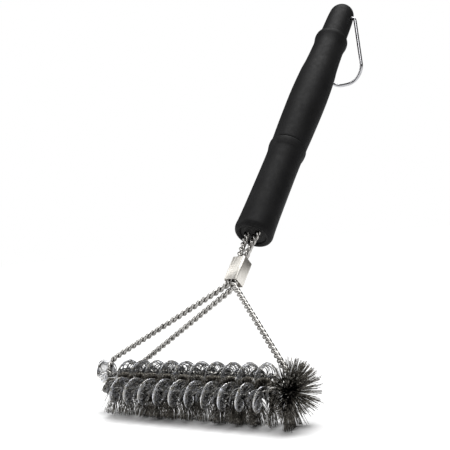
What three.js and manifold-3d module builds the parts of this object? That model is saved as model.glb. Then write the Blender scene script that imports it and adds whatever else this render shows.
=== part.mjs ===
// A long-handled grill cleaning brush: three twisted wire stems leave a hollow handle, pass
// through a sheet metal ferrule, splay out and bend into three parallel rolls. Two rolls are
// bristle-free coils, and the roll between them carries steel bristles. A wire bail hangs from
// the top of the handle.
//
// Millimetres, +X along the rolls, +Z up. The brush rests on its bristles at the angle of use,
// with the handle leaning back towards +Y. The origin is the middle of the hand grip.

import * as THREE from 'three';
import Module from 'manifold-3d';
import { mergeVertices } from 'three/addons/utils/BufferGeometryUtils.js';

// Overall layout
const LEAN = THREE.MathUtils.degToRad(42);
const FERRULE_BASE = new THREE.Vector3(0, 51, 91.8);
const GRIP_CENTRE = 200;
const GAP = 0.3;

// Stems, each a pair of wires twisted together
const STEM_RADIUS = 2.4;
const STEM_SIDES = 8;
const STEM_STEP = 2.5;
const STEM_DEPTH = 100;
const WIRE_RADIUS = 1.05;
const WIRE_OFFSET = 1.3;
const WIRE_SIDES = 5;
const LAY = 10.2;
const STEPS_PER_LAY = 6;

// Ferrule, a short rectangular tube of bent sheet
const FERRULE = { width: 12.2, depth: 11.6, height: 21.6, wall: 0.8, corner: 1.5 };

// Handle, measured from the bottom of the ferrule along the handle
const HANDLE_SIDES = 26;
const MOUTH = 46.4;
const MID_JOINT = 145;
const TOP_JOINT = 292;
const HANDLE_TOP = 342;
const BORE_RADIUS = 10.8;
const BORE_DEPTH = 66;
const PLUG_HEIGHT = 9;
const PLUG_RECESS = 1.6;

// Hanging bail
const BAIL_PIVOT = 320.5;
const BAIL_WIRE = 1.55;
const BAIL_HOLE = 2.1;
const BAIL_TOP_HALF = 17;
const BAIL_BOTTOM_HALF = 20.2;
const BAIL_LENGTH = 62.7;

// Rolls: axis position across the head, the ends along X, and an X where a loop stands upright.
// Stems and rolls are all twisted left-handed.
const ROLL_PITCH = 14.2;
const ROLL_RADIUS = 10;
const HUB_RADIUS = 3.6;
const SCREW_POINTS = 10;
const ROLL_SWEEP = 10.4;
const SLEEVE_RADIUS = 9.4;
const SLEEVE_CLIMB = 6;
const FRONT = { y: -13.5, z: 21.8, left: -77, right: 57, upright: -76.9 };
const BACK = { y: 11.5, z: 30.3, left: -80, right: 56, upright: -78.3 };
const MIDDLE = { y: -0.5, z: 24.5, left: -89, right: 76 };
const BRISTLE_TIP = 24.5;
const FLARE_START = 60;
const FLARE_END = 100;
const FLARE_RADIUS = 22;

const wasm = await Module();
wasm.setup();

// ---------------------------------------------------------------- booleans

function toSolid(geometry) {
  const plain = geometry.clone();
  plain.deleteAttribute('normal');
  plain.deleteAttribute('uv');
  const merged = mergeVertices(plain, 1e-4);
  const mesh = new wasm.Mesh({
    numProp: 3,
    vertProperties: new Float32Array(merged.attributes.position.array),
    triVerts: new Uint32Array(merged.index.array),
  });
  return new wasm.Manifold(mesh);
}

function toGeometry(solid) {
  const mesh = solid.getMesh();
  const geometry = new THREE.BufferGeometry();
  geometry.setAttribute('position', new THREE.BufferAttribute(mesh.vertProperties, 3));
  geometry.setIndex(new THREE.BufferAttribute(mesh.triVerts, 1));
  geometry.computeVertexNormals();
  return geometry;
}

// Cuts each of the tools out of the geometry.
function cut(geometry, tools) {
  let solid = toSolid(geometry);
  for (const tool of tools) {
    solid = solid.subtract(toSolid(tool));
  }
  return toGeometry(solid);
}

function join(geometry, others) {
  let solid = toSolid(geometry);
  for (const other of others) {
    solid = solid.add(toSolid(other));
  }
  return toGeometry(solid);
}

// ---------------------------------------------------------------- paths and tubes

// A circular arc about a centre, starting at centre + u and turning towards v.
class Arc extends THREE.Curve {
  constructor(centre, u, v, sweep) {
    super();
    Object.assign(this, { centre, u, v, sweep });
  }

  getPoint(t, target = new THREE.Vector3()) {
    const angle = t * this.sweep;
    return target
      .copy(this.centre)
      .addScaledVector(this.u, Math.cos(angle))
      .addScaledVector(this.v, Math.sin(angle));
  }
}

// The arc of the given radius that rounds the corner at b between a and c.
function cornerArc(a, b, c, radius) {
  const back = a.clone().sub(b).normalize();
  const onward = c.clone().sub(b).normalize();
  const half = back.angleTo(onward) / 2;
  const start = b.clone().addScaledVector(back, radius / Math.tan(half));
  const middle = back.clone().add(onward).normalize();
  const centre = b.clone().addScaledVector(middle, radius / Math.sin(half));
  const u = start.clone().sub(centre);
  const v = back.clone().multiplyScalar(-radius);
  return { start, curve: new Arc(centre, u, v, Math.PI - 2 * half) };
}

// Straight runs between the points, with each inner corner rounded to its radius.
function roundedPath(stops) {
  const path = new THREE.CurvePath();
  let last = stops[0].at;
  for (let i = 1; i < stops.length - 1; i += 1) {
    const corner = cornerArc(last, stops[i].at, stops[i + 1].at, stops[i].round);
    path.add(new THREE.LineCurve3(last, corner.start));
    path.add(corner.curve);
    last = corner.curve.getPoint(1);
  }
  path.add(new THREE.LineCurve3(last, stops[stops.length - 1].at));
  return path;
}

function roundSection(radius, sides) {
  const outline = [];
  for (let i = 0; i < sides; i += 1) {
    const angle = (2 * Math.PI * (i + 0.5)) / sides;
    outline.push(new THREE.Vector2(radius * Math.cos(angle), radius * Math.sin(angle)));
  }
  return new THREE.Shape(outline);
}

function tube(path, radius, sides, step) {
  const steps = Math.ceil(path.getLength() / step);
  return new THREE.ExtrudeGeometry(roundSection(radius, sides), { steps, extrudePath: path });
}

// A round bar along X, centred on (y, z).
function barAlongX(radius, sides, left, right, y, z) {
  const bar = new THREE.CylinderGeometry(radius, radius, right - left, sides);
  bar.rotateZ(Math.PI / 2);
  bar.translate((left + right) / 2, y, z);
  return bar;
}

// ---------------------------------------------------------------- frames

// The handle's own frame: z runs up the handle from the bottom of the ferrule.
const handleFrame = new THREE.Group();
handleFrame.position.copy(FERRULE_BASE);
handleFrame.rotation.x = -LEAN;
handleFrame.updateMatrixWorld();

function fromHandle(x, y, z) {
  return new THREE.Vector3(x, y, z).applyMatrix4(handleFrame.matrix);
}

// ---------------------------------------------------------------- stems

// The stems stand side by side in the handle and draw together in the ferrule.
function stemTop(across, back, ferruleAcross, ferruleBack) {
  return [
    { at: fromHandle(across, back, STEM_DEPTH) },
    { at: fromHandle(across, back, MOUTH + 1), round: 12 },
    { at: fromHandle(ferruleAcross, ferruleBack, FERRULE.height + 2), round: 12 },
    { at: fromHandle(ferruleAcross, ferruleBack, -2.8), round: 5 },
  ];
}

function rollStop(roll, x) {
  return new THREE.Vector3(x, roll.y, roll.z);
}

const stemPaths = {
  right: roundedPath([
    ...stemTop(5.2, -1, 2.6, -2.2),
    { at: new THREE.Vector3(80.5, -4.5, 31.5), round: 6 },
    { at: rollStop(FRONT, 57), round: 14 },
    { at: rollStop(FRONT, FRONT.left - 2) },
  ]),
  left_outer: roundedPath([
    ...stemTop(-5.2, -1, -2.6, -2.2),
    { at: new THREE.Vector3(-100, 16.95, 38.8), round: 7 },
    { at: new THREE.Vector3(-104, 9, 22.5), round: 6 },
    { at: rollStop(BACK, -86), round: 12 },
    { at: rollStop(BACK, BACK.right + 2) },
  ]),
  left_inner: roundedPath([
    ...stemTop(0, 2.4, 0, 2.2),
    { at: new THREE.Vector3(-92, 28, 27), round: 8 },
    { at: new THREE.Vector3(-101, 2, 14), round: 6 },
    { at: rollStop(MIDDLE, -88), round: 8 },
    { at: rollStop(MIDDLE, MIDDLE.right) },
  ]),
};

// One of the two wires of a stem. It winds round the stem's path, from phase (radians) on, and
// stops just short of the path's end.
function stemWireAlong(path, phase) {
  const steps = Math.round((path.getLength() / LAY) * STEPS_PER_LAY);
  const centres = path.getSpacedPoints(steps);
  const tangent = new THREE.Vector3();
  const normal = new THREE.Vector3(0, 0, 1);
  const side = new THREE.Vector3();
  const route = centres.slice(0, steps).map((centre, i) => {
    const before = centres[Math.max(i - 1, 0)];
    const after = centres[Math.min(i + 1, steps)];
    tangent.subVectors(after, before).normalize();
    normal.addScaledVector(tangent, -normal.dot(tangent)).normalize();
    side.crossVectors(tangent, normal);
    const turn = phase - (2 * Math.PI * i) / STEPS_PER_LAY;
    return centre
      .clone()
      .addScaledVector(normal, WIRE_OFFSET * Math.cos(turn))
      .addScaledVector(side, WIRE_OFFSET * Math.sin(turn));
  });
  const extrudePath = new THREE.CatmullRomCurve3(route);
  return new THREE.ExtrudeGeometry(roundSection(WIRE_RADIUS, WIRE_SIDES), { steps, extrudePath });
}

// The space that a stem needs inside a neighbour.
function stemClearance(path) {
  return tube(path, (STEM_RADIUS + GAP) / Math.cos(Math.PI / STEM_SIDES), STEM_SIDES, STEM_STEP);
}

// ---------------------------------------------------------------- rolls

// The coil's row of loops stands out on one side of the stem and winds round it like a screw.
// It is made right-handed and mirrored, so that its facets follow the twist.
function screwBar({ left, right, upright }) {
  const outline = [];
  for (let i = 0; i < SCREW_POINTS; i += 1) {
    const angle = (2 * Math.PI * i) / SCREW_POINTS;
    const radius = HUB_RADIUS + (ROLL_RADIUS - HUB_RADIUS) * Math.cos(angle / 2) ** 2;
    outline.push(new THREE.Vector2(radius * Math.cos(angle), radius * Math.sin(angle)));
  }
  const depth = right - left;
  const steps = Math.round((depth / ROLL_PITCH) * SCREW_POINTS);
  const shape = new THREE.Shape(outline);
  const bar = new THREE.ExtrudeGeometry(shape, { depth, steps, bevelEnabled: false });
  const place = bar.attributes.position;
  for (let i = 0; i < place.count; i += 1) {
    const turn = Math.PI + (2 * Math.PI * (place.getZ(i) - right + upright)) / ROLL_PITCH;
    const x = place.getX(i);
    const y = place.getY(i);
    place.setX(i, x * Math.cos(turn) - y * Math.sin(turn));
    place.setY(i, x * Math.sin(turn) + y * Math.cos(turn));
  }
  bar.rotateY(Math.PI / 2);
  bar.translate(-right, 0, 0);
  return toGeometry(toSolid(bar).mirror([1, 0, 0]));
}

function coil(roll) {
  const bar = screwBar(roll);
  bar.translate(0, roll.y, roll.z);
  return bar;
}

function frontCoil() {
  return cut(coil(FRONT), [stemClearance(stemPaths.right)]);
}

// The back coil's loops carry on round the bend of its stem and a little way up it.
function backSleeve(radius) {
  const bend = stemPaths.left_outer.curves.slice(-6, -1);
  const strutEnd = bend[0].getPoint(0);
  const climb = bend[0].getTangent(0).multiplyScalar(-SLEEVE_CLIMB);
  const sleevePath = new THREE.CurvePath();
  sleevePath.add(new THREE.LineCurve3(strutEnd.clone().add(climb), strutEnd));
  bend.forEach((curve) => sleevePath.add(curve));
  sleevePath.add(new THREE.LineCurve3(bend[4].getPoint(1), rollStop(BACK, BACK.left + 4)));
  return tube(sleevePath, radius, 12, 4.5);
}

function backCoil() {
  const clear = [stemClearance(stemPaths.left_outer), stemClearance(stemPaths.left_inner)];
  return cut(join(coil(BACK), [backSleeve(SLEEVE_RADIUS)]), clear);
}

// The bristles fan down to the ground between and under the two coils.
function bristleFan() {
  const low = THREE.MathUtils.degToRad(222);
  const high = THREE.MathUtils.degToRad(326);
  const fan = new THREE.Shape();
  fan.moveTo(MIDDLE.y + 3.2, MIDDLE.z + 5);
  fan.lineTo(MIDDLE.y - 3.2, MIDDLE.z + 5);
  fan.lineTo(MIDDLE.y - 5, MIDDLE.z);
  fan.absarc(MIDDLE.y, MIDDLE.z, BRISTLE_TIP, low, high, false);
  fan.lineTo(MIDDLE.y + 5, MIDDLE.z);
  const length = FLARE_START - GAP - MIDDLE.left;
  const options = { depth: length, bevelEnabled: false, curveSegments: 10 };
  const body = new THREE.ExtrudeGeometry(fan, options);
  body.rotateX(Math.PI / 2);
  body.rotateZ(Math.PI / 2);
  body.translate(MIDDLE.left, 0, 0);
  return body;
}

function bristleRoll() {
  const tools = [
    barAlongX(ROLL_SWEEP, 16, FRONT.left - 20, FRONT.right + 1.5, FRONT.y, FRONT.z),
    barAlongX(ROLL_SWEEP, 16, BACK.left - 30, BACK.right + 1.5, BACK.y, BACK.z),
    backSleeve(SLEEVE_RADIUS + 2 * GAP),
    stemClearance(stemPaths.right),
    stemClearance(stemPaths.left_inner),
  ];
  return cut(bristleFan(), tools);
}

// At the free end the bristles stand out all round and spread along X.
function bristleFlare() {
  const length = FLARE_END - FLARE_START;
  const outline = [
    new THREE.Vector2(0, 0),
    new THREE.Vector2(FLARE_RADIUS - 2, 0),
    new THREE.Vector2(FLARE_RADIUS, length * 0.25),
    new THREE.Vector2(FLARE_RADIUS, length * 0.6),
    new THREE.Vector2(FLARE_RADIUS - 7, length * 0.87),
    new THREE.Vector2(FLARE_RADIUS - 15, length),
    new THREE.Vector2(0, length),
  ];
  const puff = new THREE.LatheGeometry(outline, 20);
  puff.rotateZ(-Math.PI / 2);
  puff.translate(FLARE_START, MIDDLE.y, MIDDLE.z);
  return cut(puff, [stemClearance(stemPaths.right), stemClearance(stemPaths.left_inner)]);
}

// ---------------------------------------------------------------- ferrule

function roundedRectangle(width, depth, corner) {
  const x = width / 2;
  const y = depth / 2;
  const shape = new THREE.Shape();
  shape.moveTo(corner - x, -y);
  shape.absarc(x - corner, corner - y, corner, -Math.PI / 2, 0, false);
  shape.absarc(x - corner, y - corner, corner, 0, Math.PI / 2, false);
  shape.absarc(corner - x, y - corner, corner, Math.PI / 2, Math.PI, false);
  shape.absarc(corner - x, corner - y, corner, Math.PI, 1.5 * Math.PI, false);
  return shape;
}

function ferrule() {
  const { width, depth, height, wall, corner } = FERRULE;
  const shape = roundedRectangle(width, depth, corner);
  shape.holes.push(roundedRectangle(width - 2 * wall, depth - 2 * wall, corner - wall));
  return new THREE.ExtrudeGeometry(shape, { depth: height, bevelEnabled: false, curveSegments: 3 });
}

// ---------------------------------------------------------------- handle

// Half the outline, from the bottom of the bore round the outside to the top of the dome.
function handleOutline() {
  const outline = [
    [0, MOUTH + BORE_DEPTH],
    [BORE_RADIUS, MOUTH + BORE_DEPTH],
    [BORE_RADIUS, MOUTH + 1.2],
    [BORE_RADIUS + 1.4, MOUTH],
    [13.6, MOUTH],
    [15.3, MOUTH + 1.4],
    [15.9, MOUTH + 4],
    [15.5, MOUTH + 12],
    [15.2, MOUTH + 40],
    [15.1, MOUTH + 72],
    [15.3, MID_JOINT - 12],
    [16.3, MID_JOINT - 6],
    [16.3, MID_JOINT - 1.5],
    [15.3, MID_JOINT],
    [15.6, MID_JOINT + 5],
    [16.5, MID_JOINT + 28],
    [17.2, MID_JOINT + 62],
    [16.6, MID_JOINT + 92],
    [15.5, TOP_JOINT - 40],
    [14.7, TOP_JOINT - 16],
    [15.0, TOP_JOINT - 10],
    [15.9, TOP_JOINT - 5],
    [15.7, TOP_JOINT - 1.5],
    [13.2, TOP_JOINT],
    [13.0, TOP_JOINT + 8],
    [12.6, TOP_JOINT + 30],
  ];
  const domeBase = TOP_JOINT + 37;
  const arcSteps = 5;
  for (let i = 0; i < arcSteps; i += 1) {
    const angle = (Math.PI * i) / (2 * arcSteps);
    const rise = (HANDLE_TOP - domeBase) * Math.sin(angle);
    outline.push([12.2 * Math.cos(angle), domeBase + rise]);
  }
  outline.push([0, HANDLE_TOP]);
  return outline.map(([radius, height]) => new THREE.Vector2(radius, height));
}

function handle() {
  const body = new THREE.LatheGeometry(handleOutline(), HANDLE_SIDES);
  body.rotateX(Math.PI / 2);
  return cut(body, [barAlongX(BAIL_HOLE, 12, -20, 20, 0, BAIL_PIVOT)]);
}

// The plug closes the mouth of the handle round the stems.
function endPlug() {
  const bottom = MOUTH + PLUG_RECESS;
  const plug = new THREE.CylinderGeometry(BORE_RADIUS - GAP, BORE_RADIUS - GAP, PLUG_HEIGHT, 28);
  plug.rotateX(Math.PI / 2);
  plug.translate(0, 0, bottom + PLUG_HEIGHT / 2);
  const toHandle = handleFrame.matrix.clone().invert();
  const holes = Object.values(stemPaths).map((path) => stemClearance(path).applyMatrix4(toHandle));
  return cut(plug, holes);
}

// ---------------------------------------------------------------- bail

// One bent wire, whose ends meet inside the handle's cross hole.
function bail() {
  const path = roundedPath([
    { at: new THREE.Vector3(0.4, 0, 0) },
    { at: new THREE.Vector3(BAIL_TOP_HALF, 0, 0), round: 3.4 },
    { at: new THREE.Vector3(BAIL_BOTTOM_HALF, 0, -BAIL_LENGTH), round: 17 },
    { at: new THREE.Vector3(-BAIL_BOTTOM_HALF, 0, -BAIL_LENGTH), round: 17 },
    { at: new THREE.Vector3(-BAIL_TOP_HALF, 0, 0), round: 3.4 },
    { at: new THREE.Vector3(-0.4, 0, 0) },
  ]);
  return tube(path, BAIL_WIRE, 8, 3);
}

// ---------------------------------------------------------------- materials

const plastic = new THREE.MeshStandardMaterial({ color: 0x1b1b1c, roughness: 0.5, metalness: 0 });
const insert = new THREE.MeshStandardMaterial({ color: 0x121212, roughness: 0.65, metalness: 0 });
const chrome = new THREE.MeshStandardMaterial({ color: 0xd8dadc, roughness: 0.12, metalness: 1 });
const sheet = new THREE.MeshStandardMaterial({ color: 0xc9c5bd, roughness: 0.32, metalness: 1 });
const stemWire = new THREE.MeshStandardMaterial({ color: 0xb4b3af, roughness: 0.3, metalness: 1 });
const coilWire = new THREE.MeshStandardMaterial({ color: 0xaeb0b6, roughness: 0.35, metalness: 1 });
const steel = new THREE.MeshStandardMaterial({ color: 0x4a4740, roughness: 0.45, metalness: 0.9 });

// ---------------------------------------------------------------- assembly

function named(name, geometry, material) {
  const mesh = new THREE.Mesh(geometry, material);
  mesh.name = name;
  return mesh;
}

handleFrame.add(named('handle', handle(), plastic));
handleFrame.add(named('handle_end_plug', endPlug(), insert));
handleFrame.add(named('ferrule', ferrule(), sheet));

const bailMesh = named('hanging_bail', bail(), chrome);
bailMesh.position.copy(fromHandle(0, 0, BAIL_PIVOT));

const brush = new THREE.Group();
brush.position.copy(fromHandle(0, 0, GRIP_CENTRE)).negate();
brush.add(handleFrame);
brush.add(bailMesh);
for (const [name, path] of Object.entries(stemPaths)) {
  brush.add(named(`stem_${name}_wire_a`, stemWireAlong(path, 0), stemWire));
  brush.add(named(`stem_${name}_wire_b`, stemWireAlong(path, Math.PI), stemWire));
}
brush.add(named('coil_roll_front', frontCoil(), coilWire));
brush.add(named('coil_roll_back', backCoil(), coilWire));
brush.add(named('bristle_roll', bristleRoll(), steel));
brush.add(named('bristle_flare', bristleFlare(), steel));

const root = new THREE.Group();
root.add(brush);

export default root;
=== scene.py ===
"""A long-handled grill cleaning brush: bamboo-shaped black handle with a chromed hanging bail,
a sheet metal ferrule, three twisted wire stems, two coil rolls and a steel bristle roll.

The measures are in millimetres in the head's frame, where the bristles stand on z = 0 and the
rolls lie along X. place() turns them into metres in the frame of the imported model.
"""
import math

import bpy
import numpy as np
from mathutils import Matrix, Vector


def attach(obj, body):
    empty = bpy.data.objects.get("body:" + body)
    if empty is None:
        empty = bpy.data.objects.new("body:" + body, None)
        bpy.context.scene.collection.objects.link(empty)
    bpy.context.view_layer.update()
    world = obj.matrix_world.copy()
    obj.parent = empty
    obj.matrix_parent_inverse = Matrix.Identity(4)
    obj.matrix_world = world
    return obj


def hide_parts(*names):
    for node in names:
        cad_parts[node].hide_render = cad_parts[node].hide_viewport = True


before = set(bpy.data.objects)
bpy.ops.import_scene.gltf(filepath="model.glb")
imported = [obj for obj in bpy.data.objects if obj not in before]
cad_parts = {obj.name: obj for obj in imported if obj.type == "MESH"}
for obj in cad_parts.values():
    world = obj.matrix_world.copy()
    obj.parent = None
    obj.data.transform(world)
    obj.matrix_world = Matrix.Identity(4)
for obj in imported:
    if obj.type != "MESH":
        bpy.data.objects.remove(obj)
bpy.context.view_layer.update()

# ------------------------------------------------------------------ driving dimensions

# The handle leans back from upright. The ferrule's lower end is above and behind the head's middle.
LEAN = math.radians(42)
FERRULE_BASE = np.array([0.0, 51.0, 91.8])
GRIP_CENTRE = 200.0

# Stems: radius of one wire, length of one turn of the pair, how far up the handle they reach, and
# how far a stem's end stands past its roll.
STEM_WIRE = 1.22
STEM_LAY = 10.2
STEM_DEPTH = 100.0
CORE_END = 2.0

FERRULE = {"width": 12.2, "depth": 11.6, "height": 21.6, "wall": 0.8, "corner": 1.7}

# Handle: heights above the ferrule's base. The dome is a little low, to stay in the CAD model's box.
MOUTH = 46.4
MID_JOINT = 145.0
TOP_JOINT = 292.0
HANDLE_TOP = 342.0
CROWN = HANDLE_TOP - 0.25
DOME_BASE = TOP_JOINT + 37
DOME_RADIUS = 12.2
BORE_RADIUS = 10.8
BORE_DEPTH = 66.0

# Bail: a bent wire whose ends almost meet inside the handle's cross hole.
BAIL_PIVOT = 320.5
BAIL_WIRE = 1.55
BAIL_HOLE = 2.1
BAIL_TOP_HALF = 17.0
BAIL_BOTTOM_HALF = 20.2
BAIL_LENGTH = 62.7
BAIL_END_GAP = 0.4

# Rolls along X. A roll's twist points up at its upright and is held still to the left of its hold.
ROLL_PITCH = 14.2
FRONT = {"y": -13.5, "z": 21.8, "left": -77.0, "right": 57.0, "upright": -76.9, "hold": -99.0}
BACK = {"y": 11.5, "z": 30.3, "left": -80.0, "right": 56.0, "upright": -78.3, "hold": -82.7}
MIDDLE = {"y": -0.5, "z": 24.5, "left": -89.0, "right": 76.0, "upright": 69.1}
BACK_BEND = -86.0
MIDDLE_BEND = -88.0

# Coils: loops of fine wire that overlap along the stem and stand out to one side of it. A loop is
# LOOP_LENGTH to each side of its middle along the stem and LOOP_REACH across it. The front coil
# goes on past the straight run of its stem, and the back coil climbs up its stem round the bend.
LOOP_WIRE = 0.25
LOOP_REACH = 7.7
LOOP_CENTRE = 1.9
LOOP_LENGTH = 5.0
LOOP_MARGIN = 0.7
LOOP_SPACING = 0.55
LOOP_POINTS = 44
LOOP_VARIETY = 0.4
LOOP_SHIFT = (-0.6, 1.0)
LOOP_STRAY = 0.05
FRONT_COIL_PAST = 9.0
BACK_COIL_CLIMB = 25.0

# Bristles: wire radius, reach below the roll, beside it and above it, and the tuft at the right end.
BRISTLE_WIRE = 0.17
BRISTLE_REACH = 24.2
BRISTLE_SHORT = 12.0
BRISTLE_INNER = 8.0
CROPPED_END = 14.0
FLOOR_CLEARANCE = 0.8
FLARE_START = 60.0
FLARE_ROOT = FLARE_START + 12
FLARE_REACH = 22.5
FLARE_LIMIT = 99.5

up_handle = np.array([0.0, math.sin(LEAN), math.cos(LEAN)])
behind_handle = np.array([0.0, math.cos(LEAN), -math.sin(LEAN)])
across = np.array([1.0, 0.0, 0.0])
random = np.random.default_rng(7)


def from_handle(x, y, z):
    """A point in the handle's frame, z up the handle from the ferrule, in the head's frame."""
    return FERRULE_BASE + x * across + y * behind_handle + z * up_handle


origin = from_handle(0, 0, GRIP_CENTRE)


def place(points):
    """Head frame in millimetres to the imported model's frame in metres."""
    return (np.asarray(points, float) - origin) / 1000


# ------------------------------------------------------------------ mesh building


def add_piece(name, vertices, faces, material, body="brush"):
    """A smooth mesh object from head-frame vertices and faces that all have the same corner count."""
    faces = np.asarray(faces, np.int32)
    corners = faces.shape[1]
    mesh = bpy.data.meshes.new(name)
    mesh.vertices.add(len(vertices))
    mesh.vertices.foreach_set("co", place(vertices).astype(np.float32).ravel())
    mesh.loops.add(faces.size)
    mesh.loops.foreach_set("vertex_index", faces.ravel())
    mesh.polygons.add(len(faces))
    mesh.polygons.foreach_set("loop_start", np.arange(0, faces.size, corners, dtype=np.int32))
    mesh.polygons.foreach_set("use_smooth", np.full(len(faces), True))
    mesh.update(calc_edges=True)
    mesh.validate()
    mesh.materials.append(material)
    piece = bpy.data.objects.new(name, mesh)
    bpy.context.scene.collection.objects.link(piece)
    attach(piece, body)
    return piece


def unit(vectors):
    """The vectors scaled to length 1."""
    return vectors / np.linalg.norm(vectors, axis=-1, keepdims=True)


def carried_frames(points):
    """Tangents and two normals along each line of points (lines, stations, 3), without twist."""
    tangents = unit(np.gradient(points, axis=1))
    first = np.zeros_like(points)
    steep = np.abs(tangents[:, 0, 2:3]) >= 0.8
    seed = np.where(steep, [[0, 1.0, 0]], [[0, 0, 1.0]])
    normal = unit(seed - tangents[:, 0] * np.sum(seed * tangents[:, 0], axis=1, keepdims=True))
    first[:, 0] = normal
    for i in range(1, points.shape[1]):
        tangent = tangents[:, i]
        normal = unit(normal - tangent * np.sum(normal * tangent, axis=1, keepdims=True))
        first[:, i] = normal
    return tangents, first, np.cross(tangents, first)


def tubes(points, radius, sides):
    """Vertices, quads and triangular end caps of closed tubes round many lines of points at once."""
    points = np.asarray(points, float)
    lines, stations, _ = points.shape
    _, first, second = carried_frames(points)
    angle = 2 * np.pi * np.arange(sides) / sides
    ring = (
        first[:, :, None] * np.cos(angle)[None, None, :, None]
        + second[:, :, None] * np.sin(angle)[None, None, :, None]
    )
    vertices = (points[:, :, None] + ring * radius).reshape(-1, 3)
    start = (np.arange(lines) * stations * sides)[:, None, None]
    station = (np.arange(stations - 1) * sides)[None, :, None]
    side = np.arange(sides)[None, None, :]
    following = (side + 1) % sides
    a = start + station + side
    b = start + station + following
    quads = np.stack([a, b, b + sides, a + sides], axis=-1).reshape(-1, 4)
    ends = np.concatenate([points[:, 0], points[:, -1]])
    base = len(vertices)
    tip = np.arange(lines)[:, None]
    here, there = np.arange(sides)[None], (np.arange(sides)[None] + 1) % sides
    low = tip * stations * sides
    high = low + (stations - 1) * sides
    low_caps = np.stack([base + tip + 0 * here, low + there, low + here], -1)
    high_caps = np.stack([base + lines + tip + 0 * here, high + here, high + there], -1)
    caps = np.concatenate([low_caps.reshape(-1, 3), high_caps.reshape(-1, 3)])
    return np.concatenate([vertices, ends]), quads, caps


def add_tubes(name, points, radius, sides, material, body="brush"):
    """One piece made of a tube round each line of points."""
    vertices, quads, caps = tubes(points, radius, sides)
    faces = np.concatenate([quads[:, [0, 1, 2]], quads[:, [0, 2, 3]], caps])
    return add_piece(name, vertices, faces, material, body)


def lathe(outline, sides):
    """Vertices and quads of an outline of (radius, height) turned about the handle's axis."""
    outline = np.asarray(outline, float)
    angle = 2 * np.pi * np.arange(sides) / sides
    x = outline[:, 0, None] * np.cos(angle)
    y = outline[:, 0, None] * np.sin(angle)
    z = np.broadcast_to(outline[:, 1, None], x.shape)
    vertices = from_handle(0, 0, 0) + (
        x[..., None] * across + y[..., None] * behind_handle + z[..., None] * up_handle
    )
    row = (np.arange(len(outline) - 1) * sides)[:, None]
    side = np.arange(sides)[None]
    following = (side + 1) % sides
    quads = np.stack([row + side, row + following, row + sides + following, row + sides + side], -1)
    return vertices.reshape(-1, 3), quads.reshape(-1, 4)


# ------------------------------------------------------------------ paths


def rounded_path(stops, spacing=0.5):
    """Evenly spaced points along straight runs with rounded corners. A stop is (point, radius)."""
    route = [np.asarray(stops[0][0], float)[None]]
    last = np.asarray(stops[0][0], float)
    for i in range(1, len(stops) - 1):
        corner = np.asarray(stops[i][0], float)
        onward = np.asarray(stops[i + 1][0], float)
        radius = stops[i][1]
        back, ahead = unit(last - corner), unit(onward - corner)
        half = math.acos(np.clip(back @ ahead, -1, 1)) / 2
        start = corner + back * radius / math.tan(half)
        centre = corner + unit(back + ahead) * radius / math.sin(half)
        sweep = math.pi - 2 * half
        angle = np.linspace(0, sweep, max(3, int(sweep * radius / 0.3)))[:, None]
        arc = centre + (start - centre) * np.cos(angle) - back * radius * np.sin(angle)
        route.append(arc)
        last = arc[-1]
    route.append(np.asarray(stops[-1][0], float)[None])
    return resample(np.concatenate(route), spacing)


def resample(points, spacing):
    """The same path with its points evenly spaced."""
    lengths = np.concatenate([[0], np.cumsum(np.linalg.norm(np.diff(points, axis=0), axis=1))])
    count = max(2, int(round(lengths[-1] / spacing)) + 1)
    wanted = np.linspace(0, lengths[-1], count)
    return np.stack([np.interp(wanted, lengths, points[:, k]) for k in range(3)], axis=1)


class Route:
    """A path with its distance along it and normals that don't twist.

    At the path's end the first normal points up and the second is to its left.
    """

    def __init__(self, stops, spacing=0.5):
        self.points = rounded_path(stops, spacing)
        tangents, first, _ = carried_frames(self.points[None, ::-1])
        self.first = first[0, ::-1]
        self.second = np.cross(-tangents[0, ::-1], self.first)
        steps = np.linalg.norm(np.diff(self.points, axis=0), axis=1)
        self.distance = np.concatenate([[0], np.cumsum(steps)])
        self.length = self.distance[-1]

    def at(self, s, values):
        """The values, one to each point of the path, at distance s."""
        return np.stack([np.interp(s, self.distance, values[:, k]) for k in range(3)], axis=-1)

    def beside(self, s, offset, turn):
        """The points at distance s, offset from the path in the direction of turn (radians)."""
        centre = self.at(s, self.points)
        first, second = unit(self.at(s, self.first)), unit(self.at(s, self.second))
        direction = np.cos(turn)[..., None] * first + np.sin(turn)[..., None] * second
        return centre + np.asarray(offset)[..., None] * direction


def roll_turn(roll, x):
    """The angle from upright, over the front, of the left-handed twist at x."""
    return -2 * np.pi * (x - roll["upright"]) / ROLL_PITCH


def stem_top(across_handle, back, ferrule_across, ferrule_back):
    """Stops from the handle's bore, at one place across it, through the ferrule at another."""
    return [
        (from_handle(across_handle, back, STEM_DEPTH), 0),
        (from_handle(across_handle, back, MOUTH + 1), 12),
        (from_handle(ferrule_across, ferrule_back, FERRULE["height"] + 2), 12),
        (from_handle(ferrule_across, ferrule_back, -2.8), 5),
    ]


def on_roll(roll, x):
    """The point of the roll's axis at x."""
    return np.array([x, roll["y"], roll["z"]])


right_stem = Route(stem_top(5.2, -1, 2.6, -2.2) + [
    ((80.5, -4.5, 31.5), 6),
    (on_roll(FRONT, FRONT["right"]), 14),
    (on_roll(FRONT, FRONT["left"] - CORE_END), 0),
])
outer_stem = Route(stem_top(-5.2, -1, -2.6, -2.2) + [
    ((-100, 16.95, 38.8), 7),
    ((-104, 9, 22.5), 6),
    (on_roll(BACK, BACK_BEND), 12),
    (on_roll(BACK, BACK["right"] + CORE_END), 0),
])
inner_stem = Route(stem_top(0, 2.4, 0, 2.2) + [
    ((-92, 28, 27), 8),
    ((-101, 2, 14), 6),
    (on_roll(MIDDLE, MIDDLE_BEND), 8),
    (on_roll(MIDDLE, MIDDLE["right"]), 0),
])

# ------------------------------------------------------------------ materials


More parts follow.
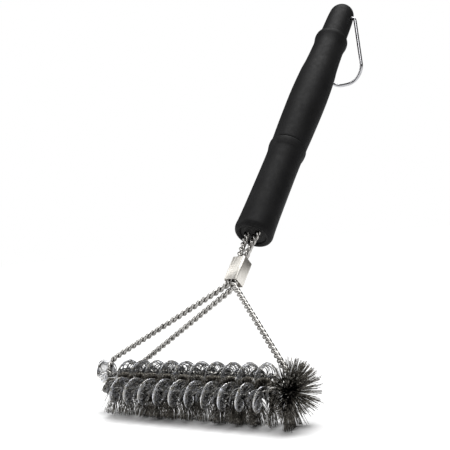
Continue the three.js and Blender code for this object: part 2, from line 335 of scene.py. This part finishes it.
def new_material(name):
    """A material with its node tree and its shader."""
    material = bpy.data.materials.new(name)
    material.use_nodes = True
    tree = material.node_tree
    return material, tree, tree.nodes["Principled BSDF"]


def noise(tree, scale, detail=3.0, stretch=None):
    """Noise fixed to the object, of about 0.3 to 0.7."""
    texture = tree.nodes.new("ShaderNodeTexNoise")
    texture.inputs["Scale"].default_value = scale
    texture.inputs["Detail"].default_value = detail
    source = tree.nodes.new("ShaderNodeTexCoord").outputs["Object"]
    if stretch:
        mapping = tree.nodes.new("ShaderNodeMapping")
        mapping.inputs["Scale"].default_value = stretch
        tree.links.new(source, mapping.inputs["Vector"])
        source = mapping.outputs["Vector"]
    tree.links.new(source, texture.inputs["Vector"])
    return texture.outputs["Fac"]


def ramp(tree, value, stops):
    """The value as a colour between stops of (position, colour)."""
    node = tree.nodes.new("ShaderNodeValToRGB")
    for element, (position, colour) in zip(node.color_ramp.elements, (stops[0], stops[-1])):
        element.position = position
        element.color = (*colour, 1)
    for position, colour in stops[1:-1]:
        element = node.color_ramp.elements.new(position)
        element.color = (*colour, 1)
    tree.links.new(value, node.inputs["Fac"])
    return node.outputs["Color"]


def spread(tree, value, low, high):
    """Noise stretched to the range from low to high."""
    node = tree.nodes.new("ShaderNodeMapRange")
    node.inputs["From Min"].default_value = 0.3
    node.inputs["From Max"].default_value = 0.7
    node.inputs["To Min"].default_value = low
    node.inputs["To Max"].default_value = high
    tree.links.new(value, node.inputs["Value"])
    return node.outputs["Result"]


def bump(tree, shader, height, distance, strength=1.0):
    """Relief of the distance in metres on the shader's normal."""
    node = tree.nodes.new("ShaderNodeBump")
    node.inputs["Distance"].default_value = distance
    node.inputs["Strength"].default_value = strength
    tree.links.new(height, node.inputs["Height"])
    tree.links.new(node.outputs["Normal"], shader.inputs["Normal"])


def plastic_material(name, dark, light, grain, depth):
    """Moulded black plastic with a fine grain and slightly uneven gloss."""
    material, tree, shader = new_material(name)
    colour = ramp(tree, noise(tree, 60), [(0.3, dark), (0.75, light)])
    tree.links.new(colour, shader.inputs["Base Color"])
    tree.links.new(spread(tree, noise(tree, 260), 0.5, 0.62), shader.inputs["Roughness"])
    shader.inputs["Specular IOR Level"].default_value = 0.1
    bump(tree, shader, noise(tree, grain, 4), depth)
    return material


def shade_by_height(tree, colour, low, high, painted_shade):
    """The colour darkened by painted shade: scaled by the given factor at height low and unchanged from
    height high (head frame).
    """
    height = tree.nodes.new("ShaderNodeSeparateXYZ")
    tree.links.new(tree.nodes.new("ShaderNodeTexCoord").outputs["Object"], height.inputs["Vector"])
    fade = tree.nodes.new("ShaderNodeMapRange")
    fade.inputs["From Min"].default_value = place([0, 0, low])[2]
    fade.inputs["From Max"].default_value = place([0, 0, high])[2]
    fade.inputs["To Min"].default_value = painted_shade
    fade.inputs["To Max"].default_value = 1.0
    tree.links.new(height.outputs["Z"], fade.inputs["Value"])
    mix = tree.nodes.new("ShaderNodeVectorMath")
    mix.operation = "SCALE"
    tree.links.new(colour, mix.inputs[0])
    tree.links.new(fade.outputs["Result"], mix.inputs["Scale"])
    return mix.outputs["Vector"]


def wire_material(name, colours, scale, roughness, painted_shade=None):
    """Drawn steel wire, with its brightness and tint wandering along it.

    The last argument is (low, high, factor) for painted shade, as in the function above: wire painted
    darker near the floor, standing in for the shade of the coil loops round it.
    """
    material, tree, shader = new_material(name)
    shader.inputs["Metallic"].default_value = 1.0
    colour = ramp(tree, noise(tree, scale, 2), colours)
    if painted_shade:
        colour = shade_by_height(tree, colour, *painted_shade)
    tree.links.new(colour, shader.inputs["Base Color"])
    tree.links.new(spread(tree, noise(tree, scale * 2.3), *roughness), shader.inputs["Roughness"])
    return material


def coil_material(name, roll):
    """Spring steel wire with painted shade: darker near the roll's axis, where the loops shade each
    other, and at its full colour on the outside of the loops.
    """
    shade_radius, unshaded_radius, painted_shade = 0.0065, 0.0095, 0.28
    tints = [(0.3, (0.5, 0.47, 0.4)), (0.5, (0.72, 0.72, 0.72)), (0.7, (0.9, 0.92, 1.0))]
    material, tree, shader = new_material(name)
    shader.inputs["Metallic"].default_value = 1.0
    offset = tree.nodes.new("ShaderNodeVectorMath")
    offset.operation = "SUBTRACT"
    offset.inputs[1].default_value = place(on_roll(roll, 0))
    tree.links.new(tree.nodes.new("ShaderNodeTexCoord").outputs["Object"], offset.inputs[0])
    flat = tree.nodes.new("ShaderNodeVectorMath")
    flat.operation = "MULTIPLY"
    flat.inputs[1].default_value = (0, 1, 1)
    tree.links.new(offset.outputs["Vector"], flat.inputs[0])
    radius = tree.nodes.new("ShaderNodeVectorMath")
    radius.operation = "LENGTH"
    tree.links.new(flat.outputs["Vector"], radius.inputs[0])
    # Painted shade: the colour is scaled down towards the roll's axis.
    axis_shade = tree.nodes.new("ShaderNodeMapRange")
    axis_shade.inputs["From Min"].default_value = shade_radius
    axis_shade.inputs["From Max"].default_value = unshaded_radius
    axis_shade.inputs["To Min"].default_value = painted_shade
    axis_shade.inputs["To Max"].default_value = 1.0
    tree.links.new(radius.outputs["Value"], axis_shade.inputs["Value"])
    colour = tree.nodes.new("ShaderNodeVectorMath")
    colour.operation = "SCALE"
    tree.links.new(ramp(tree, noise(tree, 420, 2), tints), colour.inputs[0])
    tree.links.new(axis_shade.outputs["Result"], colour.inputs["Scale"])
    tree.links.new(colour.outputs["Vector"], shader.inputs["Base Color"])
    tree.links.new(spread(tree, noise(tree, 900), 0.2, 0.36), shader.inputs["Roughness"])
    return material


def sheet_material():
    """Bright sheet metal with brush marks along the tube."""
    material, tree, shader = new_material("ferrule_sheet")
    shader.inputs["Metallic"].default_value = 1.0
    marks = noise(tree, 900, 3, stretch=(1, 0.06, 0.06))
    colour = ramp(tree, marks, [(0.3, (0.62, 0.59, 0.54)), (0.7, (0.8, 0.78, 0.74))])
    tree.links.new(colour, shader.inputs["Base Color"])
    tree.links.new(spread(tree, marks, 0.4, 0.55), shader.inputs["Roughness"])
    bump(tree, shader, marks, 0.00004, 0.5)
    return material


handle_plastic = plastic_material(
    "handle_plastic", (0.0045, 0.0045, 0.0048), (0.0085, 0.0085, 0.0088), 1500, 0.00012)
plug_plastic = plastic_material(
    "plug_plastic", (0.008, 0.008, 0.008), (0.016, 0.016, 0.016), 1200, 0.0001)
bail_chrome = wire_material(
    "bail_chrome", [(0.2, (0.36, 0.36, 0.37)), (0.8, (0.48, 0.48, 0.5))], 150, (0.1, 0.18))
ferrule_sheet = sheet_material()
# The stem wire gets painted shade below 36 mm, down to a quarter of its colour at 26 mm, for the shade
# of the coil loops round it in the rolls.
stem_steel = wire_material(
    "stem_wire", [(0.3, (0.3, 0.29, 0.275)), (0.7, (0.52, 0.51, 0.49))], 240, (0.2, 0.34),
    (26, 36, 0.25))
front_coil_steel = coil_material("front_coil_wire", FRONT)
back_coil_steel = coil_material("back_coil_wire", BACK)
bristle_steel = wire_material(
    "bristle_steel",
    [(0.3, (0.03, 0.027, 0.022)), (0.55, (0.1, 0.093, 0.08)), (0.72, (0.45, 0.43, 0.39))],
    900, (0.25, 0.4))

# ------------------------------------------------------------------ handle


def smooth_outline(knots, per_span=6):
    """A Catmull-Rom curve through (radius, height) knots."""
    knots = np.asarray(knots, float)
    padded = np.concatenate([2 * knots[:1] - knots[1:2], knots, 2 * knots[-1:] - knots[-2:-1]])
    t = np.linspace(0, 1, per_span, endpoint=False)[:, None]
    spans = []
    for i in range(1, len(padded) - 2):
        a, b, c, d = padded[i - 1:i + 3]
        square = (2 * a - 5 * b + 4 * c - d) * t**2
        cube = (3 * b - a - 3 * c + d) * t**3
        spans.append(0.5 * (2 * b + (c - a) * t + square + cube))
    return np.concatenate(spans + [knots[-1:]])


def handle_outline():
    """From the end of the bore, round the mouth and up the three segments to the dome.

    Each joint is a low collar with a groove above it.
    """
    mouth = [(0.01, MOUTH + BORE_DEPTH), (BORE_RADIUS, MOUTH + BORE_DEPTH), (BORE_RADIUS, MOUTH + 1.6)]
    rim = [
        (BORE_RADIUS + 0.5, MOUTH + 0.5), (BORE_RADIUS + 1.6, MOUTH + 0.05), (13.4, MOUTH),
        (14.9, MOUTH + 0.9), (15.75, MOUTH + 3), (15.9, MOUTH + 5), (15.6, MOUTH + 11),
        (15.35, MOUTH + 22), (15.2, MOUTH + 40), (15.1, MOUTH + 72), (15.3, MID_JOINT - 12),
        (15.9, MID_JOINT - 8), (16.3, MID_JOINT - 5), (16.3, MID_JOINT - 1.9),
        (15.8, MID_JOINT - 0.9),
    ]
    middle = [
        (14.5, MID_JOINT - 0.8), (14.5, MID_JOINT - 0.2), (15.45, MID_JOINT + 0.6),
        (15.75, MID_JOINT + 7), (16.5, MID_JOINT + 28), (17.15, MID_JOINT + 62),
        (16.6, MID_JOINT + 92), (15.5, TOP_JOINT - 40), (14.8, TOP_JOINT - 20),
        (14.8, TOP_JOINT - 13), (15.3, TOP_JOINT - 8), (15.85, TOP_JOINT - 4.6),
        (15.6, TOP_JOINT - 1.3), (14.9, TOP_JOINT - 0.6),
    ]
    top = [
        (12.1, TOP_JOINT - 1.0), (12.1, TOP_JOINT - 0.2), (12.95, TOP_JOINT + 0.6),
        (12.9, TOP_JOINT + 12), (12.6, TOP_JOINT + 30),
    ]
    angle = np.linspace(0, math.pi / 2, 14)[:-1]
    dome_height = CROWN - DOME_BASE
    dome = np.stack([DOME_RADIUS * np.cos(angle), DOME_BASE + dome_height * np.sin(angle)], axis=1)
    curves = [smooth_outline(knots) for knots in (rim, middle, top)]
    return np.concatenate([np.array(mouth), *curves, dome, np.array([(0.01, CROWN)])])


def make_handle():
    """The turned moulding with the bail's hole cut across it."""
    vertices, quads = lathe(handle_outline(), 96)
    handle = add_piece("handle_grip", vertices, quads, handle_plastic)
    cutter_points = np.linspace(from_handle(-25, 0, BAIL_PIVOT), from_handle(25, 0, BAIL_PIVOT), 3)
    cutter = add_tubes("cutter", cutter_points[None], BAIL_HOLE, 24, handle_plastic)
    hole = handle.modifiers.new("bail_hole", "BOOLEAN")
    hole.object = cutter
    hole.operation = "DIFFERENCE"
    bpy.context.view_layer.objects.active = handle
    bpy.ops.object.modifier_apply(modifier=hole.name)
    bpy.data.objects.remove(cutter)
    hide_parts("handle")


# ------------------------------------------------------------------ ferrule


def rounded_rectangle(width, depth, corner, steps=6):
    """Points round a rectangle centred on the origin, anticlockwise."""
    points = []
    for k, (sx, sy) in enumerate([(1, -1), (1, 1), (-1, 1), (-1, -1)]):
        angle = np.linspace(0, math.pi / 2, steps) + (k - 1) * math.pi / 2
        x = sx * (width / 2 - corner) + corner * np.cos(angle)
        y = sy * (depth / 2 - corner) + corner * np.sin(angle)
        points.append(np.stack([x, y], axis=1))
    return np.concatenate(points)


def make_ferrule():
    """A wall of sheet with softened edges, open at both ends."""
    soft = 0.18
    wall, height = FERRULE["wall"], FERRULE["height"]
    sections = []
    for inset, level in [
        (0, soft), (0, height / 2), (0, height - soft), (soft, height),
        (wall - soft, height), (wall, height - soft), (wall, height / 2), (wall, soft),
        (wall - soft, 0), (soft, 0),
    ]:
        outline = rounded_rectangle(
            FERRULE["width"] - 2 * inset, FERRULE["depth"] - 2 * inset, FERRULE["corner"] - inset)
        sections.append([from_handle(x, y, level) for x, y in outline])
    sections = np.array(sections)
    rows, count, _ = sections.shape
    row = np.arange(rows)[:, None]
    side = np.arange(count)[None]
    following = (side + 1) % count
    below = ((row + 1) % rows) * count
    quads = np.stack([row * count + side, row * count + following, below + following, below + side], -1)
    piece = add_piece("ferrule_sleeve", sections.reshape(-1, 3), quads.reshape(-1, 4), ferrule_sheet)
    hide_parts("ferrule")


# ------------------------------------------------------------------ bail


def make_bail():
    """One wire bent into a long loop that hangs from the cross hole."""
    pivot = from_handle(0, 0, BAIL_PIVOT)
    top_bend, bottom_bend = 3.4, 17
    half = [
        ((BAIL_END_GAP, 0, 0), 0), ((BAIL_TOP_HALF, 0, 0), top_bend),
        ((BAIL_BOTTOM_HALF, 0, -BAIL_LENGTH), bottom_bend),
    ]
    stops = half + [((-x, y, z), bend) for (x, y, z), bend in reversed(half)]
    points = rounded_path([(pivot + np.array(p), r) for p, r in stops], 0.8)
    piece = add_tubes("hanging_bail_wire", points[None], BAIL_WIRE, 20, bail_chrome, "bail")
    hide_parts("hanging_bail")


# ------------------------------------------------------------------ stems


def make_stem(stem, route):
    """Two wires twisted round each other along the route."""
    station_spacing, closeness = 0.55, 0.98
    s = np.arange(0, route.length, station_spacing)
    for wire, start in (("wire_a", 0), ("wire_b", math.pi)):
        turn = start - 2 * np.pi * s / STEM_LAY
        strand = route.beside(s, np.full(len(s), STEM_WIRE * closeness), turn)
        piece = add_tubes(f"{stem}_{wire}_drawn", strand[None], STEM_WIRE, 12, stem_steel)
        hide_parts(f"{stem}_{wire}")


# ------------------------------------------------------------------ coil rolls


def per_loop(t, low, high):
    """A random value for each loop, changing smoothly along t."""
    knots = np.arange(int(t[-1]) + 2)
    return np.interp(t, knots, random.uniform(low, high, len(knots)))


def make_coil(name, route, roll, first, last, node, material):
    """One fine wire thrown into overlapping loops, which the stem's twist turns into a screw.

    Round the stem's bend the twist is held, so that the loops fan out on the outside of the bend.
    """
    first, last = first + LOOP_LENGTH * LOOP_MARGIN, last - LOOP_LENGTH * LOOP_MARGIN
    loops = (last - first) / LOOP_SPACING
    t = np.linspace(0, loops, int(loops * LOOP_POINTS))
    swing = 2 * np.pi * t
    small = 1 - LOOP_VARIETY * per_loop(t, 0.0, 1.0) ** 2
    offset = LOOP_LENGTH * small * np.cos(swing)
    along = first + t * LOOP_SPACING + offset
    shift = per_loop(t, *LOOP_SHIFT) * (1 - small) * LOOP_REACH
    reach = LOOP_CENTRE + shift + LOOP_REACH * small * np.sin(swing)
    x = np.maximum(route.points[-1, 0] - (route.length - along), roll["hold"])
    turn = roll_turn(roll, x) + per_loop(t, -LOOP_STRAY, LOOP_STRAY)
    points = route.beside(along, reach, turn)
    piece = add_tubes(name, points[None], LOOP_WIRE, 6, material)
    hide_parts(node)


# ------------------------------------------------------------------ bristles


def bristle_clumps(count, each, spread):
    """Random numbers shared by the bristles of a clump, with a small spread of their own."""
    shared = random.normal(size=(count, 1, 2))
    return (shared + spread * random.normal(size=(count, each, 2))).reshape(-1, 2)


def grow(roots, directions, lengths, bends):
    """Lines of points from the roots, in the directions, curving sideways by bends."""
    t = np.linspace(0.05, 1, 5)[None, :, None]
    side = unit(np.cross(directions, [1.0, 0.3, 0.2]))
    straight = roots[:, None] + directions[:, None] * lengths[:, None, None] * t
    return straight + side[:, None] * (bends * lengths)[:, None, None] * t**2


def roll_directions(x, angle, lean):
    """Unit directions at an angle from upright over the front, leaning along X by lean."""
    radial = np.stack([np.zeros_like(x), -np.sin(angle), np.cos(angle)], axis=1)
    return unit(radial + lean[:, None] * across)


def to_floor(directions):
    """How far the roll's bristles go in each downward direction before they come to the floor."""
    return (MIDDLE["z"] - FLOOR_CLEARANCE) / np.maximum(-directions[:, 2], 0.2)


def full_roll():
    """A row of bristles that winds round the middle roll, long below and short above.

    At the left end the row is cropped beside and above the roll, where the coil's loops fan out.
    """
    count, each = 560, 13
    first, last = MIDDLE["left"], FLARE_START + 9
    x = np.repeat(random.uniform(first, last, count), each) + random.normal(0, 0.5, count * each)
    x = np.clip(x, first, last)
    vary = bristle_clumps(count, each, 0.35)
    looseness = np.interp(x, [35, 50], [0.9, 0.5])
    angle = roll_turn(MIDDLE, x) + looseness * vary[:, 0]
    outward = np.interp(x, [first, first + 12], [-0.15, 0])
    lean = outward + 0.09 * vary[:, 1]
    directions = roll_directions(x, angle, lean)
    below = np.degrees(np.arccos(np.clip(-directions[:, 2], -1, 1)))
    reach = np.interp(below, [38, 50, 100], [BRISTLE_REACH, BRISTLE_SHORT, BRISTLE_INNER])
    reach *= random.uniform(0.94, 1.0, len(x))
    reach *= np.where((x < first + CROPPED_END) & (below > 70), 0.4, 1.0)
    reach = np.where(directions[:, 2] < -0.2, np.minimum(reach, to_floor(directions)), reach)
    roots = on_roll(MIDDLE, 0) + x[:, None] * across
    return grow(roots, directions, reach, 0.05 * random.normal(size=len(x)))


def flared_end():
    """The last bristles fan round from square to the roll until they point along it."""
    count, each = 190, 4
    x = np.repeat(random.uniform(FLARE_ROOT, MIDDLE["right"], count), each)
    vary = bristle_clumps(count, each, 0.4)
    side = np.repeat(random.integers(0, 2, count), each) * np.pi
    angle = roll_turn(MIDDLE, x) + side + 1.2 * vary[:, 0]
    forward = np.repeat(random.uniform(0, 1, count), each) ** 0.8
    tilt = forward * np.interp(x, [FLARE_ROOT, MIDDLE["right"]], [0.3, 1.25])
    tilt *= np.interp(np.cos(angle), [-0.95, -0.75], [0.04, 1.0])
    lean = np.tan(np.clip(tilt + 0.06 * vary[:, 1], -0.1, 1.25))
    directions = roll_directions(x, angle, lean)
    reach = FLARE_REACH * random.uniform(0.85, 1.0, len(x))
    reach = np.where(directions[:, 2] < -0.9, to_floor(directions), reach)
    limit = (FLARE_LIMIT - x) / np.maximum(directions[:, 0], 0.05)
    roots = on_roll(MIDDLE, 0) + x[:, None] * across
    return grow(roots, directions, np.minimum(reach, limit), 0.02 * random.normal(size=len(x)))


def make_bristles():
    """The roll and its flared end, each one piece."""
    for node, lines in (("bristle_roll", full_roll()), ("bristle_flare", flared_end())):
        piece = add_tubes(f"{node}_wires", lines, BRISTLE_WIRE, 4, bristle_steel)
        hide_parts(node)


# ------------------------------------------------------------------ object

make_handle()
make_ferrule()
make_bail()
make_stem("stem_right", right_stem)
make_stem("stem_left_outer", outer_stem)
make_stem("stem_left_inner", inner_stem)
front_axis = Route([
    (on_roll(FRONT, FRONT["left"]), 0), (on_roll(FRONT, FRONT["right"] + FRONT_COIL_PAST), 0),
])
make_coil(
    "coil_front_loops", front_axis, FRONT, 0, front_axis.length, "coil_roll_front",
    front_coil_steel)
back_run = BACK["right"] + CORE_END - BACK_BEND
make_coil(
    "coil_back_loops", outer_stem, BACK, outer_stem.length - back_run - BACK_COIL_CLIMB,
    outer_stem.length - CORE_END, "coil_roll_back", back_coil_steel)
make_bristles()
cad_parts["handle_end_plug"].material_slots[0].material = plug_plastic

# ------------------------------------------------------------------ studio

FLOOR_Z = place([0, 0, 0])[2]
ROOM_LIGHT = 0.12


def make_floor():
    """A pale floor that reaches the horizon."""
    reach = 40.0
    corners = [(-reach, -reach), (reach, -reach), (reach, reach), (-reach, reach)]
    mesh = bpy.data.meshes.new("floor")
    mesh.from_pydata([(x, y, FLOOR_Z) for x, y in corners], [], [(0, 1, 2, 3)])
    material, _, shader = new_material("floor_paper")
    shader.inputs["Base Color"].default_value = (0.92, 0.92, 0.92, 1)
    shader.inputs["Roughness"].default_value = 0.9
    shader.inputs["Specular IOR Level"].default_value = 0.1
    mesh.materials.append(material)
    floor = bpy.data.objects.new("floor", mesh)
    bpy.context.scene.collection.objects.link(floor)


def add_softbox(name, location, target, size, power):
    """A rectangular light that faces the target."""
    light = bpy.data.lights.new(name, "AREA")
    light.shape = "RECTANGLE"
    light.size, light.size_y = size
    light.energy = power
    lamp = bpy.data.objects.new(name, light)
    lamp.location = location
    lamp.rotation_euler = (Vector(target) - Vector(location)).to_track_quat("-Z", "Y").to_euler()
    bpy.context.scene.collection.objects.link(lamp)


def make_light():
    """A dim room seen as white, one broad light from above and softboxes at the front."""
    world = bpy.data.worlds.new("studio")
    world.use_nodes = True
    tree = world.node_tree
    background = tree.nodes["Background"]
    background.inputs["Color"].default_value = (1, 1, 1, 1)
    seen = tree.nodes.new("ShaderNodeMapRange")
    seen.inputs["To Min"].default_value = ROOM_LIGHT
    seen.inputs["To Max"].default_value = 1.0
    rays = tree.nodes.new("ShaderNodeLightPath")
    tree.links.new(rays.outputs["Is Camera Ray"], seen.inputs["Value"])
    tree.links.new(seen.outputs["Result"], background.inputs["Strength"])
    bpy.context.scene.world = world
    sun = bpy.data.lights.new("overhead", "SUN")
    sun.energy = 3.3
    sun.angle = math.radians(50)
    lamp = bpy.data.objects.new("overhead", sun)
    lamp.rotation_euler = (math.radians(-8), math.radians(6), 0)
    bpy.context.scene.collection.objects.link(lamp)
    head = (0, -0.18, FLOOR_Z + 0.05)
    add_softbox("key", (0.5, -1.0, 0.5), head, (0.5, 0.5), 4)
    add_softbox("fill", (-0.9, -0.4, 0.5), head, (0.5, 0.8), 4)


def make_camera():
    """Above the head, looking across the brush from its right-hand front, slightly rolled."""
    data = bpy.data.cameras.new("camera")
    data.sensor_width = 36
    data.lens = 61.33
    data.clip_start, data.clip_end = 0.01, 50
    camera = bpy.data.objects.new("camera", data)
    camera.location = place([344.5, -415.4, 121.7])
    camera.rotation_euler = [math.radians(angle) for angle in (91.44, 5.2, 36.81)]
    bpy.context.scene.collection.objects.link(camera)
    bpy.context.scene.camera = camera


make_floor()
make_light()
make_camera()
bpy.context.scene.view_settings.view_transform = "Standard"
